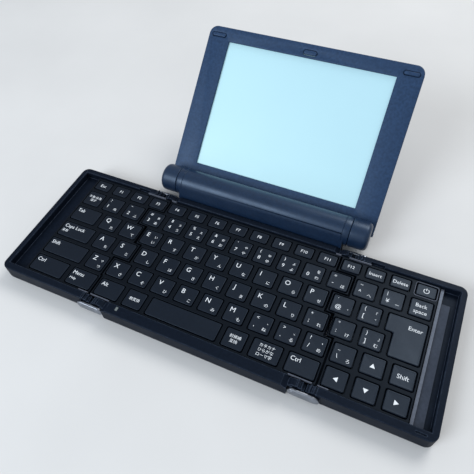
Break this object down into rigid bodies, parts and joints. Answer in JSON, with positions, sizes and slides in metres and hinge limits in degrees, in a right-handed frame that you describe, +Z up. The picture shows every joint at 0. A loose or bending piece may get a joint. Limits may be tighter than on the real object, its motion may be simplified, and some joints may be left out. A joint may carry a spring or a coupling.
{
  "type": "folding electronic word processor",
  "caption": "Folding electronic word processor: a keyboard in three sections on geared double hinges, with a pale display lid on a round battery barrel.",
  "frame": {"origin": "on the table, under the middle of the whole opened object's box", "axes": "+X across the keyboard to the typist's right, +Y away from the typist towards the lid, +Z up"},
  "size_m": [0.2856, 0.2104, 0.0864],
  "materials": {
    "case_plastic": "fine matte texture, near-black navy",
    "deck_plastic": "matte near-black",
    "key_plastic": "matte dark navy caps with white legends",
    "lid_plastic": "matte dark slate navy with a soft sheen",
    "screen": "matte pale electronic-paper panel",
    "plated_metal": "satin silver",
    "steel": "plain steel",
    "cell_jacket": "plain unprinted jacket",
    "rubber": "dark rubber",
    "circuit_board": "solder-mask green"
  },
  "bodies": {
    "base": {"centre_lower_case": "case_plastic", "centre_key_frame": "deck_plastic", "centre_key_plate": "key_plastic", "main_circuit_board": "circuit_board", "battery_barrel": "case_plastic", "battery_door": "case_plastic", "left_aa_cell": "cell_jacket", "right_aa_cell": "cell_jacket", "battery_spring": "steel", "centre_front_foot": "rubber", "centre_rear_foot": "rubber"},
    "lid": {"display_bezel": "lid_plastic", "e_paper_panel": "screen", "display_back_cover": "lid_plastic", "left_hinge_cap": "lid_plastic", "right_hinge_cap": "lid_plastic", "left_hinge_pin": "steel", "right_hinge_pin": "steel", "left_lid_pad": "rubber", "middle_lid_pad": "rubber", "right_lid_pad": "rubber"},
    "left_link": {"left_front_hinge_link": "plated_metal", "left_rear_hinge_link": "plated_metal"},
    "left_wing": {"left_wing_case": "case_plastic", "left_wing_key_frame": "deck_plastic", "left_wing_key_plate": "key_plastic", "left_wing_foot": "rubber"},
    "right_link": {"right_front_hinge_link": "plated_metal", "right_rear_hinge_link": "plated_metal"},
    "right_wing": {"right_wing_case": "case_plastic", "right_wing_key_frame": "deck_plastic", "right_wing_key_plate": "key_plastic", "right_wing_foot": "rubber", "right_trim_strip": "plated_metal", "right_tray_panel": "deck_plastic"},
    "escape_key_body": {"escape_key": "key_plastic"},
    "input_mode_key_body": {"input_mode_key": "key_plastic"},
    "tab_key_body": {"tab_key": "key_plastic"},
    "caps_lock_key_body": {"caps_lock_key": "key_plastic"},
    "shift_left_key_body": {"shift_left_key": "key_plastic"},
    "ctrl_left_key_body": {"ctrl_left_key": "key_plastic"},
    "menu_key_body": {"menu_key": "key_plastic"},
    "alt_key_body": {"alt_key": "key_plastic"},
    "non_convert_key_body": {"non_convert_key": "key_plastic"},
    "space_bar_body": {"space_bar": "key_plastic"},
    "convert_key_body": {"convert_key": "key_plastic"},
    "kana_key_body": {"kana_key": "key_plastic"},
    "ctrl_right_key_body": {"ctrl_right_key": "key_plastic"},
    "insert_key_body": {"insert_key": "key_plastic"},
    "delete_key_body": {"delete_key": "key_plastic"},
    "power_key_body": {"power_key": "key_plastic"},
    "backspace_key_body": {"backspace_key": "key_plastic"},
    "enter_key_body": {"enter_key": "key_plastic"},
    "shift_right_key_body": {"shift_right_key": "key_plastic"},
    "up_key_body": {"up_key": "key_plastic"},
    "left_key_body": {"left_key": "key_plastic"},
    "down_key_body": {"down_key": "key_plastic"},
    "right_key_body": {"right_key": "key_plastic"}
  },
  "joints": [
    {"name": "lid_hinge", "type": "hinge", "parent": "base", "child": "lid", "pos_m": [0, 0.00931, 0.0165], "axis": [1, 0, 0], "range_deg": [-7, 138.1]},
    {"name": "left_link_fold", "type": "hinge", "parent": "base", "child": "left_link", "pos_m": [-0.0655, -0.10289, 0.00705], "axis": [0, 1, 0], "range_deg": [0, 90]},
    {"name": "left_wing_fold", "type": "hinge", "parent": "left_link", "child": "left_wing", "pos_m": [-0.0775, -0.10289, 0.00705], "axis": [0, 1, 0], "range_deg": [0, 90]},
    {"name": "right_link_fold", "type": "hinge", "parent": "base", "child": "right_link", "pos_m": [0.0655, -0.10289, 0.00705], "axis": [0, -1, 0], "range_deg": [0, 90]},
    {"name": "right_wing_fold", "type": "hinge", "parent": "right_link", "child": "right_wing", "pos_m": [0.0775, -0.10289, 0.00705], "axis": [0, -1, 0], "range_deg": [0, 90]},
    {"name": "escape_press", "type": "slide", "parent": "left_wing", "child": "escape_key_body", "axis": [0, 0, -1], "range_m": [0, 0.0015], "stiffness_N_per_m": 300, "springref_m": -0.001},
    {"name": "input_mode_press", "type": "slide", "parent": "left_wing", "child": "input_mode_key_body", "axis": [0, 0, -1], "range_m": [0, 0.0015], "stiffness_N_per_m": 300, "springref_m": -0.001},
    {"name": "tab_press", "type": "slide", "parent": "left_wing", "child": "tab_key_body", "axis": [0, 0, -1], "range_m": [0, 0.0015], "stiffness_N_per_m": 300, "springref_m": -0.001},
    {"name": "caps_lock_press", "type": "slide", "parent": "left_wing", "child": "caps_lock_key_body", "axis": [0, 0, -1], "range_m": [0, 0.0015], "stiffness_N_per_m": 300, "springref_m": -0.001},
    {"name": "shift_left_press", "type": "slide", "parent": "left_wing", "child": "shift_left_key_body", "axis": [0, 0, -1], "range_m": [0, 0.0015], "stiffness_N_per_m": 300, "springref_m": -0.001},
    {"name": "ctrl_left_press", "type": "slide", "parent": "left_wing", "child": "ctrl_left_key_body", "axis": [0, 0, -1], "range_m": [0, 0.0015], "stiffness_N_per_m": 300, "springref_m": -0.001},
    {"name": "menu_press", "type": "slide", "parent": "left_wing", "child": "menu_key_body", "axis": [0, 0, -1], "range_m": [0, 0.0015], "stiffness_N_per_m": 300, "springref_m": -0.001},
    {"name": "alt_press", "type": "slide", "parent": "base", "child": "alt_key_body", "axis": [0, 0, -1], "range_m": [0, 0.0015], "stiffness_N_per_m": 300, "springref_m": -0.001},
    {"name": "non_convert_press", "type": "slide", "parent": "base", "child": "non_convert_key_body", "axis": [0, 0, -1], "range_m": [0, 0.0015], "stiffness_N_per_m": 300, "springref_m": -0.001},
    {"name": "space_press", "type": "slide", "parent": "base", "child": "space_bar_body", "axis": [0, 0, -1], "range_m": [0, 0.0015], "stiffness_N_per_m": 300, "springref_m": -0.001},
    {"name": "convert_press", "type": "slide", "parent": "base", "child": "convert_key_body", "axis": [0, 0, -1], "range_m": [0, 0.0015], "stiffness_N_per_m": 300, "springref_m": -0.001},
    {"name": "kana_press", "type": "slide", "parent": "base", "child": "kana_key_body", "axis": [0, 0, -1], "range_m": [0, 0.0015], "stiffness_N_per_m": 300, "springref_m": -0.001},
    {"name": "ctrl_right_press", "type": "slide", "parent": "base", "child": "ctrl_right_key_body", "axis": [0, 0, -1], "range_m": [0, 0.0015], "stiffness_N_per_m": 300, "springref_m": -0.001},
    {"name": "insert_press", "type": "slide", "parent": "right_wing", "child": "insert_key_body", "axis": [0, 0, -1], "range_m": [0, 0.0015], "stiffness_N_per_m": 300, "springref_m": -0.001},
    {"name": "delete_press", "type": "slide", "parent": "right_wing", "child": "delete_key_body", "axis": [0, 0, -1], "range_m": [0, 0.0015], "stiffness_N_per_m": 300, "springref_m": -0.001},
    {"name": "power_press", "type": "slide", "parent": "right_wing", "child": "power_key_body", "axis": [0, 0, -1], "range_m": [0, 0.0015], "stiffness_N_per_m": 300, "springref_m": -0.001},
    {"name": "backspace_press", "type": "slide", "parent": "right_wing", "child": "backspace_key_body", "axis": [0, 0, -1], "range_m": [0, 0.0015], "stiffness_N_per_m": 300, "springref_m": -0.001},
    {"name": "enter_press", "type": "slide", "parent": "right_wing", "child": "enter_key_body", "axis": [0, 0, -1], "range_m": [0, 0.0015], "stiffness_N_per_m": 300, "springref_m": -0.001},
    {"name": "shift_right_press", "type": "slide", "parent": "right_wing", "child": "shift_right_key_body", "axis": [0, 0, -1], "range_m": [0, 0.0015], "stiffness_N_per_m": 300, "springref_m": -0.001},
    {"name": "up_press", "type": "slide", "parent": "right_wing", "child": "up_key_body", "axis": [0, 0, -1], "range_m": [0, 0.0015], "stiffness_N_per_m": 300, "springref_m": -0.001},
    {"name": "left_press", "type": "slide", "parent": "right_wing", "child": "left_key_body", "axis": [0, 0, -1], "range_m": [0, 0.0015], "stiffness_N_per_m": 300, "springref_m": -0.001},
    {"name": "down_press", "type": "slide", "parent": "right_wing", "child": "down_key_body", "axis": [0, 0, -1], "range_m": [0, 0.0015], "stiffness_N_per_m": 300, "springref_m": -0.001},
    {"name": "right_press", "type": "slide", "parent": "right_wing", "child": "right_key_body", "axis": [0, 0, -1], "range_m": [0, 0.0015], "stiffness_N_per_m": 300, "springref_m": -0.001}
  ],
  "couplings": [
    {"joint": "left_link_fold", "follows": "left_wing_fold", "ratio": 1},
    {"joint": "right_link_fold", "follows": "right_wing_fold", "ratio": 1}
  ]
}
